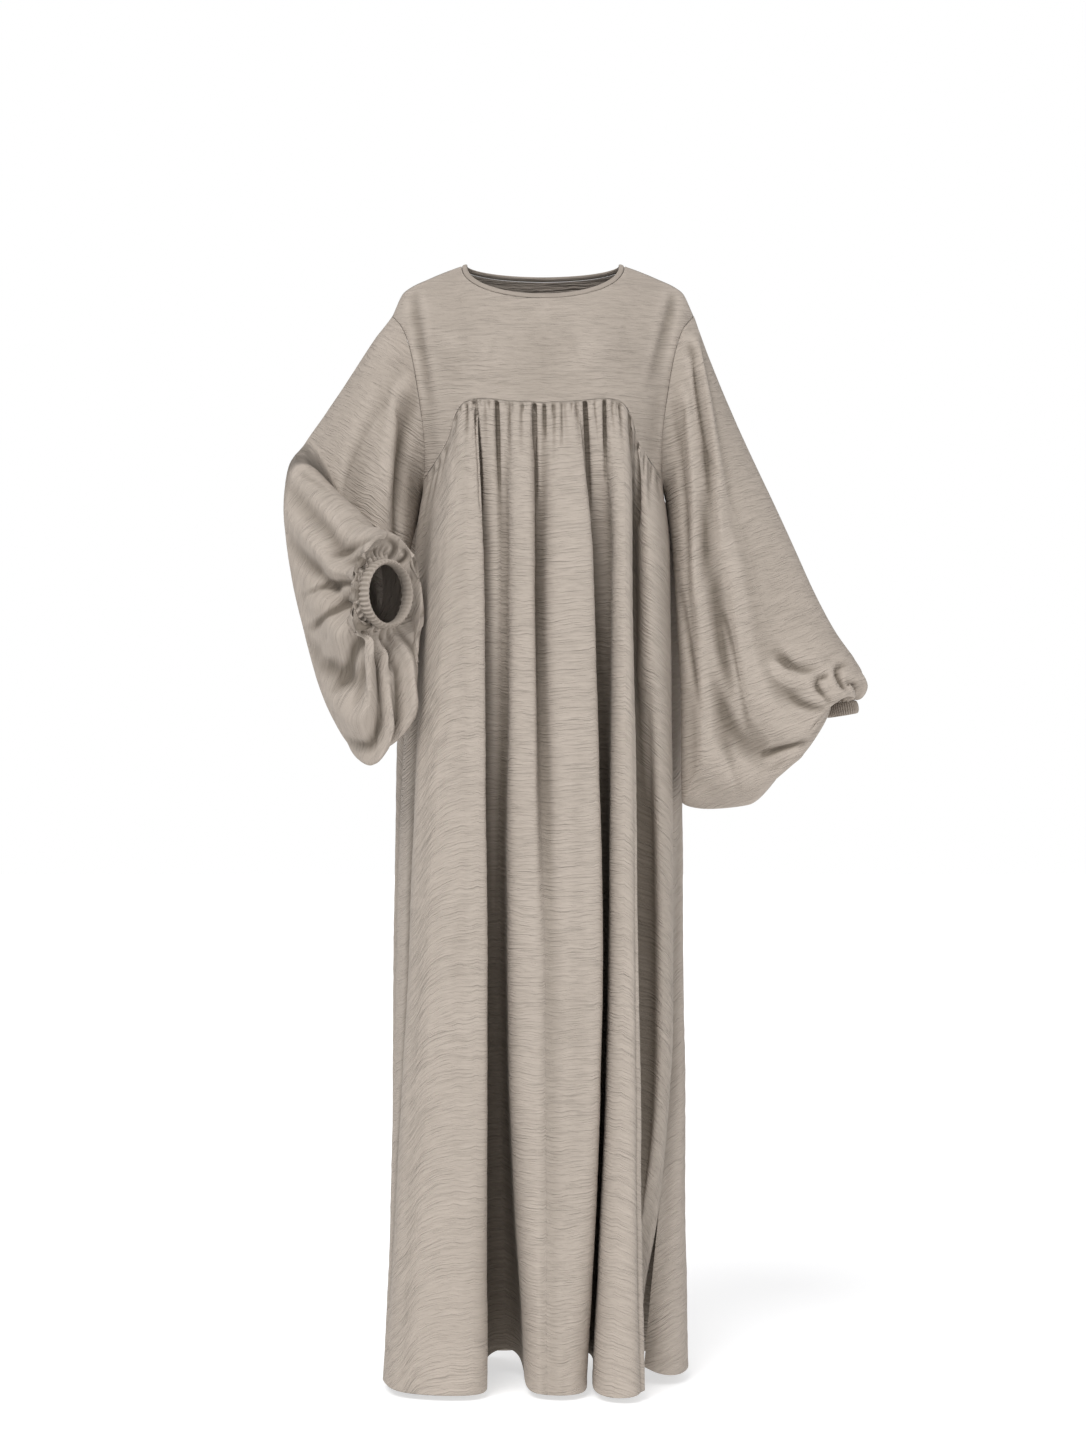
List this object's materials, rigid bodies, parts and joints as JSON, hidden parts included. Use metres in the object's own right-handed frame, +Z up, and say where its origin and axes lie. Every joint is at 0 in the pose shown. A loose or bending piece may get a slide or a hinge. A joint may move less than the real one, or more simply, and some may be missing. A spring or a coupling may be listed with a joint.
{
  "type": "abaya",
  "caption": "Long taupe crepe abaya with a smooth yoke, a gathered skirt and balloon sleeves on elastic cuffs, in its worn form with no wearer.",
  "frame": {"origin": "midway between the two high shoulder points, where the shoulders hold the garment up", "axes": "+Z up along the garment's length, the front faces -Y, +X towards the wearer's left sleeve"},
  "size_m": [0.7539, 0.3467, 1.4526],
  "materials": {
    "crepe": "matt crinkled crepe with a slight sheen",
    "trim": "the same crepe, folded and stitched into binding and elastic casings"
  },
  "bodies": {
    "root": {"yoke_front": "crepe", "yoke_back": "crepe", "skirt_front": "crepe", "skirt_back": "crepe", "sleeve_right": "crepe", "sleeve_left": "crepe", "cuff_right": "trim", "cuff_left": "trim", "neck_binding": "trim"}
  },
  "joints": []
}
